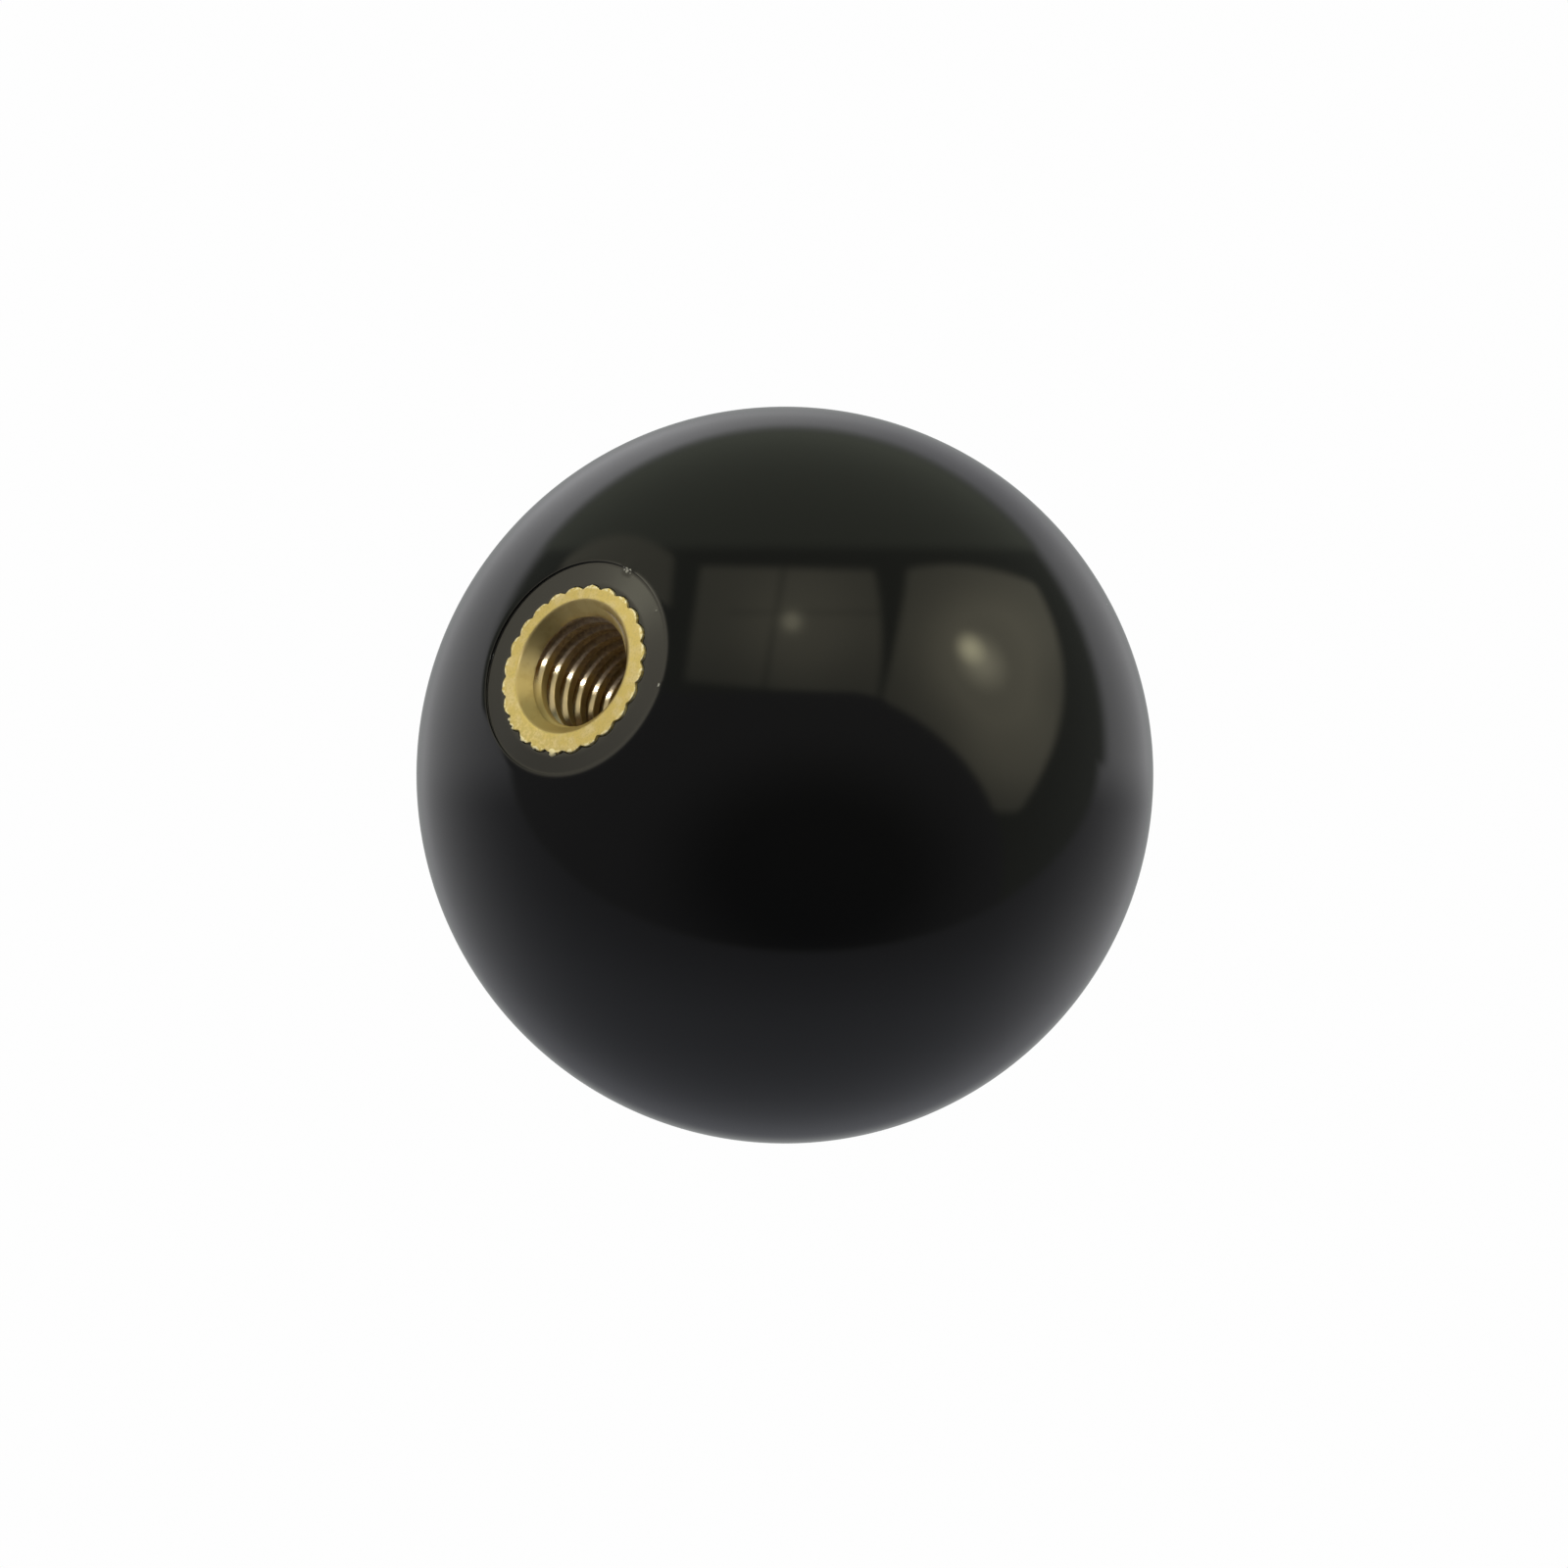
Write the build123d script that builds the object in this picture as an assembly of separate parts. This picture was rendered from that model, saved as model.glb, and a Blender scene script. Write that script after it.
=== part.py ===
from build123d import *
from math import cos, radians, sin, sqrt, tan
import os

# A ball top for a joystick lever: a black ball moulded round a knurled brass bush.
# The hole points down, as it does on the lever. The origin is the middle of the hole's
# mouth, on the brass face that the lever's shoulder meets, and the ball stands on that face.
# Lengths are in millimetres and angles in degrees.

# Ball
ball_diameter = 35.0
flat_margin = 0.95
flat_sink = 0.1
brass_proud = 0.15

# Hole in the brass bush
thread_diameter = 6.0
thread_pitch = 1.0
thread_length = 10.5
countersink_clearance = 0.4
countersink_angle = 90.0
drill_point_angle = 118.0

# Outside of the brass bush
wall_behind_teeth = 0.6
closed_end = 1.2
knurl_teeth = 24
knurl_depth = 0.3
groove_width = 2.4
groove_depth = 0.75
inner_end_chamfer = 0.5

# The hole is drilled for the thread: the standard profile reaches inwards from the thread's
# full diameter by five eighths of the height of its sharp V.
v_height = thread_pitch * sqrt(3) / 2
drill_radius = thread_diameter / 2 - v_height * 5 / 8
mouth_radius = (thread_diameter + countersink_clearance) / 2

# Both tools leave a cone: this much depth for each millimetre of radius.
sink_depth_per_radius = tan(radians(90 - countersink_angle / 2))
point_depth_per_radius = tan(radians(90 - drill_point_angle / 2))
thread_start = (mouth_radius - drill_radius) * sink_depth_per_radius
thread_end = thread_start + thread_length
hole_tip = thread_end + drill_radius * point_depth_per_radius
bush_length = hole_tip + closed_end

# The teeth stand on the wall round the mouth of the countersink.
knurl_root_radius = mouth_radius + wall_behind_teeth
knurl_crest_radius = knurl_root_radius + knurl_depth
groove_radius = knurl_crest_radius - groove_depth
groove_start = (bush_length - groove_width) / 2
groove_end = groove_start + groove_width

# The sphere stops at a rim a little above the brass face, and the flat lies inside the rim.
ball_radius = ball_diameter / 2
rim_radius = knurl_crest_radius + flat_margin
rim_height = brass_proud
flat_height = rim_height + flat_sink
ball_centre_height = rim_height + sqrt(ball_radius**2 - rim_radius**2)
ball_top_height = ball_centre_height + ball_radius


def polar(radius, angle):
    """The point at this radius and angle round the axis of the hole."""
    return (radius * cos(radians(angle)), radius * sin(radians(angle)))


def knurl_section():
    """The knurled bar's cross section: rounded teeth that meet in sharp roots."""
    step = 360 / knurl_teeth
    with BuildSketch() as section:
        with BuildLine():
            for tooth in range(knurl_teeth):
                middle = tooth * step
                near_root = polar(knurl_root_radius, middle - step / 2)
                crest = polar(knurl_crest_radius, middle)
                far_root = polar(knurl_root_radius, middle + step / 2)
                ThreePointArc(near_root, crest, far_root)
        make_face()
    return section.sketch


def turned(*profile):
    """A solid turned about the axis of the hole from a closed profile of (radius, height)."""
    with BuildPart() as solid:
        with BuildSketch(Plane.XZ):
            with BuildLine():
                Polyline(*profile, close=True)
            make_face()
        revolve(axis=Axis.Z)
    return solid.part


def bush_form():
    """The bush with no hole in it: knurled bar, turned to a groove and a chamfered inner end.

    The ball is moulded round this same form, so its pocket is face to face with the brass.
    """
    bar = extrude(knurl_section(), bush_length)
    turned_blank = turned(
        (0, 0),
        (knurl_crest_radius, 0),
        (knurl_crest_radius, groove_start),
        (groove_radius, groove_start),
        (groove_radius, groove_end),
        (knurl_crest_radius, groove_end),
        (knurl_crest_radius, bush_length - inner_end_chamfer),
        (knurl_crest_radius - inner_end_chamfer, bush_length),
        (0, bush_length),
    )
    return bar & turned_blank


def drilled_hole():
    """What the tools take out: the countersink, and the blind hole drilled for the thread."""
    return turned(
        (0, 0),
        (mouth_radius, 0),
        (drill_radius, thread_start),
        (drill_radius, thread_end),
        (0, hole_tip),
    )


def threaded_insert():
    """The brass bush, with the hole at the thread's inner diameter."""
    return bush_form() - drilled_hole()


def ball():
    """The moulded ball: a sphere that stops at its rim, with the flat and the bush's pocket."""
    rim = (rim_radius, rim_height)
    waist = (ball_radius, ball_centre_height)
    top = (0, ball_top_height)
    with BuildPart() as sphere:
        with BuildSketch(Plane.XZ):
            with BuildLine():
                ThreePointArc(rim, waist, top)
                Polyline(top, (0, flat_height), (rim_radius, flat_height), rim)
            make_face()
        revolve(axis=Axis.Z)
    return sphere.part - bush_form()


os.makedirs("parts", exist_ok=True)
nodes = {
    "ball": ball(),
    "threaded_insert": threaded_insert(),
}
for name, solid in nodes.items():
    export_step(solid, f"parts/{name}.step")
    print(f"{name}: {solid.volume:.1f} mm3")
print(f"hole: radius {drill_radius:.4f}, wall from {thread_start:.3f} to {thread_end:.3f}")
print(f"bush: length {bush_length:.3f}, radius over the teeth {knurl_crest_radius:.3f}")
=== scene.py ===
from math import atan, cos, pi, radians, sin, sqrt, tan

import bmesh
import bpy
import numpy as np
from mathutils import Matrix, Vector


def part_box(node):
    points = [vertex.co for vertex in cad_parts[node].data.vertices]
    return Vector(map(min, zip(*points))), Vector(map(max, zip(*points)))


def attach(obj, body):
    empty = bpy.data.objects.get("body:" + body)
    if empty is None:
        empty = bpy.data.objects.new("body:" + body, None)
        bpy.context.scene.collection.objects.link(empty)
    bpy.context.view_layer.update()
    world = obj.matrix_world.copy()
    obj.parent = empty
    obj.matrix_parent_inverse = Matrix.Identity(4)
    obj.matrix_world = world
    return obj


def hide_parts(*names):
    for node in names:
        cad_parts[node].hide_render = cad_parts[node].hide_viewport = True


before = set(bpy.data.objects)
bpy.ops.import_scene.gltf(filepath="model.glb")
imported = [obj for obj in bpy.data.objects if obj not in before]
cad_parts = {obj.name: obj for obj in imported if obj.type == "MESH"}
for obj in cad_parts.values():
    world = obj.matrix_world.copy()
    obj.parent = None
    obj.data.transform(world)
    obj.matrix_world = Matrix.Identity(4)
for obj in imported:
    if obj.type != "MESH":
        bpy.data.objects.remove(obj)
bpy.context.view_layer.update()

# %% [markdown]
# # A gloss black ball top with a knurled brass bush
#
# The real thing is a ball of black resin, moulded in one piece round a brass bush. The bush is turned
# from knurled bar, countersunk and tapped, and it screws onto a joystick lever. Its hole was drilled a
# little beside the middle of the bar, so the brass ring round the mouth is not the same width all round.
#
# The whole look of it is reflection. A polished black ball has almost no colour of its own: what the
# eye sees is the room in it. So this lesson sets up the camera first, then the surroundings that the
# ball mirrors, and then the two pieces: the ball with its small flat, and the bush with a real thread.

mm = 0.001
ball_low, ball_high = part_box("ball")
bush_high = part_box("threaded_insert")[1]
ball_radius = (ball_high.x - ball_low.x) / 2
ball_centre = Vector((0, 0, ball_high.z - ball_radius))
trimmed_off_rim = 0.09 * mm
worn_off_teeth = 0.04 * mm
rim_radius = sqrt(ball_radius**2 - (ball_centre.z - ball_low.z) ** 2) + trimmed_off_rim
rim_height = ball_centre.z - sqrt(ball_radius**2 - rim_radius**2)
crest_radius = bush_high.x - worn_off_teeth
bush_length = bush_high.z
print(f"ball radius {ball_radius / mm:.2f} mm, centre {ball_centre.z / mm:.3f} mm up")
print(f"rim radius {rim_radius / mm:.2f} mm, bush {2 * crest_radius / mm:.2f} x {bush_length / mm:.2f} mm")

# %% [markdown]
# ## The camera
#
# The photograph looks up at the hole from below and a little to one side, from far enough away that
# the ball looks round and not stretched. The ball stands on its brass face, so the camera is the thing
# that goes under it, and the part stays where it is.
#
# A camera could be aimed with a Track To constraint, but that leaves its roll to chance. Here three
# angles hold the view: how far round the part the camera stands, how far below it, and where the hole
# lies round the middle of the picture. The room further down needs the same three directions.

# %% Camera
picture_size = 1600
ball_in_picture = (800.9, 790.9)
outline_in_picture = 376.0
camera_distance = 350 * mm
camera_azimuth = radians(7.5)
camera_elevation = radians(-49.65)
hole_turn_in_picture = radians(153.0)
sensor_width = 36.0
clip_reach = 10

to_camera = Vector((
    sin(camera_azimuth) * cos(camera_elevation),
    -cos(camera_azimuth) * cos(camera_elevation),
    sin(camera_elevation),
))
down = Vector((0, 0, -1))
to_hole = (down - to_camera * down.dot(to_camera)).normalized()
along_face = to_camera.cross(to_hole)
picture_right = cos(hole_turn_in_picture) * to_hole - sin(hole_turn_in_picture) * along_face
picture_up = sin(hole_turn_in_picture) * to_hole + cos(hole_turn_in_picture) * along_face

# A sphere's outline is the cone that just touches it, so its size in the picture gives the lens.
outline_slope = ball_radius / sqrt(camera_distance**2 - ball_radius**2)
picture_per_slope = outline_in_picture / outline_slope
aim_right = (picture_size / 2 - ball_in_picture[0]) / picture_per_slope * camera_distance
aim_up = (ball_in_picture[1] - picture_size / 2) / picture_per_slope * camera_distance

camera_data = bpy.data.cameras.new("camera")
camera_data.sensor_width = sensor_width
camera_data.lens = picture_per_slope / picture_size * sensor_width
camera_data.clip_start = camera_distance / clip_reach
camera_data.clip_end = camera_distance * clip_reach
camera = bpy.data.objects.new("camera", camera_data)
turn = Matrix((picture_right, picture_up, to_camera)).transposed().to_4x4()
place = ball_centre + to_camera * camera_distance + picture_right * aim_right + picture_up * aim_up
camera.matrix_world = Matrix.Translation(place) @ turn
scene = bpy.context.scene
scene.collection.objects.link(camera)
scene.camera = camera
scene.view_settings.view_transform = "Standard"
print(f"lens {camera_data.lens:.1f} mm, camera {place.length / mm:.0f} mm from the hole's mouth")

# %% [markdown]
# ## Writing shaders as sums
#
# A material or a sky is a graph of nodes, and it could be wired up link by link. But a mask such as
# "inside this window and above that edge" reads best as a sum, so the class below wraps one socket.
# Adding, multiplying or comparing two of them adds the Math nodes: `1 - mask` is both Python and a graph.

# %% The class that turns sums into nodes
class Value:
    """One socket of a node tree, for use in sums."""

    def __init__(self, shader, socket):
        self.shader = shader
        self.socket = socket

    def maths(self, operation, *numbers):
        sockets = dict(enumerate(numbers))
        return self.shader.node("ShaderNodeMath", {"operation": operation}, sockets, out=0)

    def __add__(self, other):
        return self.maths("ADD", self, other)

    def __sub__(self, other):
        return self.maths("SUBTRACT", self, other)

    def __mul__(self, other):
        return self.maths("MULTIPLY", self, other)

    def __truediv__(self, other):
        return self.maths("DIVIDE", self, other)

    def __rsub__(self, other):
        return self.maths("SUBTRACT", other, self)

    def __rtruediv__(self, other):
        return self.maths("DIVIDE", other, self)

    def __pow__(self, other):
        return self.maths("POWER", self, other)

    __radd__ = __add__
    __rmul__ = __mul__

    def most(self, other):
        return self.maths("MAXIMUM", self, other)

    def least(self, other):
        return self.maths("MINIMUM", self, other)

    def fade(self, start, end):
        """0 before start and 1 past end, with a smooth step between. They may be in either order."""
        rising = {"Value": self, "From Min": start, "From Max": end}
        return self.shader.node("ShaderNodeMapRange", {"interpolation_type": "SMOOTHSTEP"}, rising, out=0)


class Shader:
    """A node tree that is written from the top down."""

    def __init__(self, tree):
        tree.nodes.clear()
        self.tree = tree

    def node(self, kind, settings, sockets, out):
        """Adds a node: its settings first, then its sockets, each a number, a colour or a Value."""
        made = self.tree.nodes.new(kind)
        for name, setting in settings.items():
            setattr(made, name, setting)
        for name, value in sockets.items():
            if isinstance(value, Value):
                self.tree.links.new(value.socket, made.inputs[name])
            else:
                made.inputs[name].default_value = value
        return Value(self, made.outputs[out]) if out is not None else made

    def vector(self, operation, first, second, out):
        return self.node("ShaderNodeVectorMath", {"operation": operation}, {0: first, 1: second}, out)

    def mix(self, mask, below, above):
        """Colour below where the mask is 0, colour above where it is 1."""
        colour_sockets = {0: mask, 6: below, 7: above}
        return self.node("ShaderNodeMix", {"data_type": "RGBA"}, colour_sockets, out=2)

    def noise(self, where, scale, detail, roughness=0.5):
        sockets = {"Vector": where, "Scale": scale, "Detail": detail, "Roughness": roughness}
        return self.node("ShaderNodeTexNoise", {}, sockets, out=0)


def colour(red, green, blue):
    return (red, green, blue, 1.0)


def new_material(name):
    material = bpy.data.materials.new(name)
    material.use_nodes = True
    return material, Shader(material.node_tree)


print("sums can be written as nodes")

# %% [markdown]
# ## The surroundings, drawn as the ball shows them
#
# The ball is a curved mirror: each point of it shows one direction of the room. That map is known from
# mirror-ball photography. Halfway between the direction to the camera and any direction d lies the
# normal that mirrors d, and the normal's two components across the picture are its place on the ball.
#
# Panels and lamps round the ball would do too, but each would have to be moved about until its bent
# image lands where it should. Drawn through that map, a window is simply put where the ball shows it.
# So the world shader works out, for each direction, where on the ball the camera would see it, and
# draws the room there in simple shapes: a pale backdrop all round, a ceiling, three windows and the
# dark side of the room. The three axes are fixed in space, so the room stays where it is when the
# camera moves. The whole outline of the ball shows one and the same direction, straight behind it, so
# towards the outline everything fades to one plain grey.

# %% Places on the ball
def across(picture_x):
    return (picture_x - ball_in_picture[0]) / outline_in_picture


def upward(picture_y):
    return (ball_in_picture[1] - picture_y) / outline_in_picture


def length(pixels):
    return pixels / outline_in_picture


world = bpy.data.worlds.new("room")
scene.world = world
world.use_nodes = True
room = Shader(world.node_tree)
direction = room.node("ShaderNodeTexCoord", {}, {}, "Generated")
facing = room.vector("DOT_PRODUCT", direction, to_camera, "Value")
not_quite_nothing = 0.0001
spread = (2 * facing + (2 + not_quite_nothing)) ** 0.5
x = room.vector("DOT_PRODUCT", direction, picture_right, "Value") / spread
y = room.vector("DOT_PRODUCT", direction, picture_up, "Value") / spread
print("the room is drawn in ball radii, from the middle of the ball")


# %% Shapes with soft edges
def step_x(start, end):
    """0 at one upright line of the picture and 1 at another."""
    return x.fade(across(start), across(end))


def step_y(start, end):
    """0 at one level line of the picture and 1 at another."""
    return y.fade(upward(start), upward(end))


def within(value, low, high, soft):
    """1 between low and high, with edges that fade over twice the soft width."""
    return value.fade(low - soft, low + soft) * value.fade(high + soft, high - soft)


def from_point(picture_x, picture_y, stretch_x=1.0, stretch_y=1.0):
    """The distance to a point of the picture, counted shorter along a stretched side."""
    side = (x - across(picture_x)) / stretch_x
    rise = (y - upward(picture_y)) / stretch_y
    return (side * side + rise * rise) ** 0.5


def disc(picture_x, picture_y, radius_x, radius_y, soft):
    """An upright ellipse."""
    away = from_point(picture_x, picture_y, length(radius_x), length(radius_y))
    edge = soft / max(radius_x, radius_y)
    return away.fade(1 + edge, 1 - edge)


def glow(picture_x, picture_y, radius):
    """A spot of light that falls away all round."""
    away = from_point(picture_x, picture_y) / length(radius)
    return 1 / (1 + away * away * away * away)


def oval(picture_x, picture_y, long_radius, short_radius, lean):
    """The distance to a point in radii of an oval, whose long side leans this far to the right."""
    side = x - across(picture_x)
    rise = y - upward(picture_y)
    lean_x = sin(radians(lean))
    lean_y = cos(radians(lean))
    along = side * (lean_x / length(long_radius)) + rise * (lean_y / length(long_radius))
    aside = side * (lean_y / length(short_radius)) - rise * (lean_x / length(short_radius))
    return (along * along + aside * aside) ** 0.5


def bowed(value, start, end, bulge):
    """Where an edge lies along the other axis, as value runs from start to end, bowed between them."""
    value_start, other_start = start
    value_end, other_end = end
    share = (value - (value_start + value_end) / 2) * (2 / (value_end - value_start))
    bow = (1 - share * share) * bulge
    return bow + share * ((other_end - other_start) / 2) + (other_start + other_end) / 2


def upright(upper, lower, bulge=0.0):
    """An upright edge between two points of the picture, bowed to the right by the bulge in pixels."""
    start = (upward(upper[1]), across(upper[0]))
    return bowed(y, start, (upward(lower[1]), across(lower[0])), length(bulge))


def level(first, last, bulge=0.0):
    """A level edge between two points of the picture, bowed upwards by the bulge in pixels."""
    start = (across(first[0]), upward(first[1]))
    return bowed(x, start, (across(last[0]), upward(last[1])), length(bulge))


def window(corners, bulges, soft):
    """A pane with bowed edges, as a curved mirror shows straight ones. Corners and bulges run from the
    upper left corner and the upper edge round to the right."""
    upper_left, upper_right, lower_right, lower_left = corners
    above, right, below, left = bulges
    gaps = (
        level(upper_left, upper_right, above) - y,
        upright(upper_right, lower_right, right) - x,
        y - level(lower_left, lower_right, below),
        x - upright(upper_left, lower_left, left),
    )
    pane = 1
    for gap in gaps:
        pane = gap.fade(length(-soft), length(soft)) * pane
    return pane


print("shapes to draw with: disc, glow, oval and window")

# %% The backdrop
# Spots (x, y and radius), middles, corners and the two sides of a soft edge are pixels of the picture.
backdrop_white = colour(0.58, 0.58, 0.59)
backdrop_grey = colour(0.250, 0.257, 0.28)
backdrop_bright = colour(0.74, 0.74, 0.76)
backdrop_dim = colour(0.43, 0.43, 0.45)
backdrop_shade = colour(0.13, 0.13, 0.14)
backdrop_slant = 0.09
backdrop_curl = 1.9
curl_start = 0.9
grey_to_white = (-0.9, 0.18)
bright_patch = (622, 481, 110)
dim_patch = (979, 481, 120)
sheet_middle = (822, 770)
sheet_radii = (296, 197)
low_shade_out = (1.45, 0.9)
low_shade_down = (770, 830)
low_shade_strength = 0.85
outline_shade_out = (0.94, 1.0)
outline_shade_down = (-0.35, -0.75)
outline_shade_strength = 0.4

from_middle = (x * x + y * y) ** 0.5
backdrop_height = y + backdrop_slant * x + backdrop_curl * (from_middle - curl_start)
backdrop = room.mix(backdrop_height.fade(*grey_to_white), backdrop_grey, backdrop_white)
backdrop = room.mix(glow(*bright_patch), backdrop, backdrop_bright)
backdrop = room.mix(glow(*dim_patch), backdrop, backdrop_dim)
sheet_bend = from_point(*sheet_middle, *(length(radius) for radius in sheet_radii))
low_shade = sheet_bend.fade(*low_shade_out) * step_y(*low_shade_down)
backdrop = room.mix(low_shade * low_shade_strength, backdrop, backdrop_shade)
outline_shade = from_middle.fade(*outline_shade_out) * y.fade(*outline_shade_down)
backdrop = room.mix(outline_shade * outline_shade_strength, backdrop, backdrop_shade)
print("backdrop drawn")

# %% The ceiling and the wall
ceiling_colour = colour(0.26, 0.28, 0.225)
wall_colour = colour(0.12, 0.13, 0.11)
room_circle = (806, 766, 318, 325)
circle_soft = 7
bend_slant = 0.10
bend_up = (0.09, 0.13)
bend_out = (1.02, 0.98)
flat_edge = (494, 508)
ceiling_edge = (571, 555)
inside_circle = disc(*room_circle, circle_soft)
above_bend = (y + bend_slant * x).fade(*bend_up).most(sheet_bend.fade(*bend_out))
in_room = inside_circle * above_bend * step_x(*flat_edge)
view = room.mix(in_room, backdrop, wall_colour)
view = room.mix(in_room * step_y(*ceiling_edge), view, ceiling_colour)
print("ceiling and wall drawn")

# %% Windows
pane_colour = colour(0.43, 0.42, 0.33)
pane_low_colour = colour(0.31, 0.31, 0.25)
bright_colour = colour(1.05, 0.99, 0.74)
window_soft = 6
left_corners = ((578, 576), (690, 572), (686, 622), (572, 622))
middle_corners = ((717, 582), (890, 586), (893, 715), (701, 697))
right_corners = ((924, 585), (1053, 598), (1035, 828), (858, 828))
left_bulges = (24, 0, 0, 0)
middle_bulges = (0, 6, 0, 0)
right_bulges = (10, 36, 0, 9)
mullion_ends = ((801, 577), (781, 700))
mullion_half_width = 3
mullion_soft = 5
mullion_strength = 0.45
crossbar_low = 632
crossbar_high = 626
crossbar_soft = 4
crossbar_start = (735, 755)
crossbar_strength = 0.22
pane_low = (640, 705)
lights = (
    {"spot": (815, 638, 58), "strength": 0.42},
    {"spot": (1003, 668, 62), "strength": 1.15},
    {"spot": (1030, 755, 52), "strength": 0.62},
)

left_window = window(left_corners, left_bulges, window_soft)
middle_window = window(middle_corners, middle_bulges, window_soft)
right_window = window(right_corners, right_bulges, window_soft)
mullion_side = length(mullion_half_width)
from_mullion = x - upright(*mullion_ends)
mullion = within(from_mullion, -mullion_side, mullion_side, length(mullion_soft)) * mullion_strength
crossbar = within(y, upward(crossbar_low), upward(crossbar_high), length(crossbar_soft))
crossbar = crossbar * step_x(*crossbar_start) * crossbar_strength
panes = middle_window * (1 - mullion) * (1 - crossbar)
panes = (panes + left_window + right_window).least(1)
middle_lit, right_lit, lower_lit = [glow(*light["spot"]) * light["strength"] for light in lights]
lit = (middle_lit + right_lit + lower_lit).least(1)
pane_view = room.mix(step_y(*pane_low), pane_colour, pane_low_colour)
view = room.mix(panes * in_room, view, room.mix(lit, pane_view, bright_colour))
print("three windows drawn")

# %% The dark side of the room, in front of the windows
dark_colour = colour(0.115, 0.115, 0.12)
darkest_colour = colour(0.034, 0.036, 0.038)
table_disc = (770, 880, 250, 190)
table_soft = 6
table_edge = (704, 712)
sill_edge = (712, 722)
wall_end = (905, 895)
darkest_middle = (830, 886)
darkest_stretch = 1.35
dark_start = 150
dark_full = 55
table_top = disc(*table_disc, table_soft) * step_y(*table_edge)
low_left = step_y(*sill_edge) * step_x(*wall_end)
dark_part = (table_top + low_left).least(1) * in_room
dark_depth = from_point(*darkest_middle, darkest_stretch).fade(length(dark_start), length(dark_full))
view = room.mix(dark_part, view, room.mix(dark_depth, dark_colour, darkest_colour))
print("dark side drawn")

# %% Lamps in the windows, and the bright wall that only the flat face mirrors
lamp_colour = colour(5.0, 4.7, 3.1)
halo_colour = colour(2.5, 2.35, 1.7)
small_lamp_colour = colour(1.9, 1.8, 1.3)
face_light_left = colour(0.70, 0.66, 0.53)
face_light_right = colour(1.12, 1.05, 0.85)
face_light_middle = colour(1.00, 0.93, 0.71)
face_glow = colour(2.7, 2.6, 2.0)
behind_ball = colour(0.36, 0.37, 0.37)
lamp_lean = -36
face_lean = 27
small_lamp = (808, 638, 9)
halo = (997, 677, 42, 30)
lamp = (987, 665, 23, 18)
face_middle = (585, 681, 38)
face_corner = (634, 623, 19)
face_oval = (593, 685, 100, 75)
face_left_to_right = (530, 650)
face_soft = 0.88
straight_behind = (-0.89, -0.99)
view = room.mix(glow(*small_lamp), view, small_lamp_colour)
view = room.mix(oval(*halo, lamp_lean).fade(1, 0), view, halo_colour)
view = room.mix(oval(*lamp, lamp_lean).fade(1, 0), view, lamp_colour)
face_light = room.mix(step_x(*face_left_to_right), face_light_left, face_light_right)
face_light = room.mix(glow(*face_middle), face_light, face_light_middle)
face_light = room.mix(glow(*face_corner), face_light, face_glow)
view = room.mix(oval(*face_oval, face_lean).fade(1, face_soft), view, face_light)
view = room.mix(facing.fade(*straight_behind), view, behind_ball)
print("lamps and the face's own light drawn")

# %% The world's two faces: white for the camera, the room for everything that is lit
backdrop_seen = colour(0.99, 0.99, 0.99)
seen = room.node("ShaderNodeBackground", {}, {"Color": backdrop_seen, "Strength": 1.0}, 0)
mirrored = room.node("ShaderNodeBackground", {}, {"Color": view, "Strength": 1.0}, 0)
is_camera = room.node("ShaderNodeLightPath", {}, {}, "Is Camera Ray")
sky = room.node("ShaderNodeMixShader", {}, {0: is_camera, 1: mirrored, 2: seen}, 0)
room.node("ShaderNodeOutputWorld", {}, {"Surface": sky}, None)
print(f"the room takes {len(world.node_tree.nodes)} nodes")

# %% [markdown]
# ## The floor
#
# The part stands on its brass face on a pale floor, and the photograph looks at it from below. A solid
# floor would hide the part from there, and a sheet of glass would mirror it. So the floor is a one-sided
# sheet: it shows from above, where it takes the ball's soft shadow, and it is clear from underneath. It
# fades into the white backdrop with distance, so it has no edge.

# %% Floor
floor_radius = 0.9
floor_fade_start = 0.06
floor_fade_end = 0.45
floor_corners = 96
floor_mesh = bpy.data.meshes.new("floor")
floor_plan = bmesh.new()
bmesh.ops.create_circle(floor_plan, cap_ends=True, segments=floor_corners, radius=floor_radius)
floor_plan.to_mesh(floor_mesh)
floor_plan.free()
floor = bpy.data.objects.new("floor", floor_mesh)
scene.collection.objects.link(floor)
floor.visible_glossy = False
floor.visible_diffuse = False
floor.visible_transmission = False
floor.visible_shadow = False

print(f"floor {2 * floor_radius} m across")

# %% Paint that shows from above only
floor_pale = colour(0.8, 0.8, 0.8)
floor_material, paint = new_material("pale_floor")
floor_geometry = paint.node("ShaderNodeNewGeometry", {}, {}, None)
underside = Value(paint, floor_geometry.outputs["Backfacing"])
floor_place = Value(paint, floor_geometry.outputs["Position"])
away = paint.vector("LENGTH", floor_place, (0, 0, 0), "Value")
clear = underside.most(away.fade(floor_fade_start, floor_fade_end))
matt = paint.node("ShaderNodeBsdfDiffuse", {}, {"Color": floor_pale}, 0)
glass = paint.node("ShaderNodeBsdfTransparent", {}, {}, 0)
floor_surface = paint.node("ShaderNodeMixShader", {}, {0: clear, 1: matt, 2: glass}, 0)
paint.node("ShaderNodeOutputMaterial", {}, {"Surface": floor_surface}, None)
floor_mesh.materials.append(floor_material)
print(f"floor fades out from {floor_fade_start} m to {floor_fade_end} m")

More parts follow.
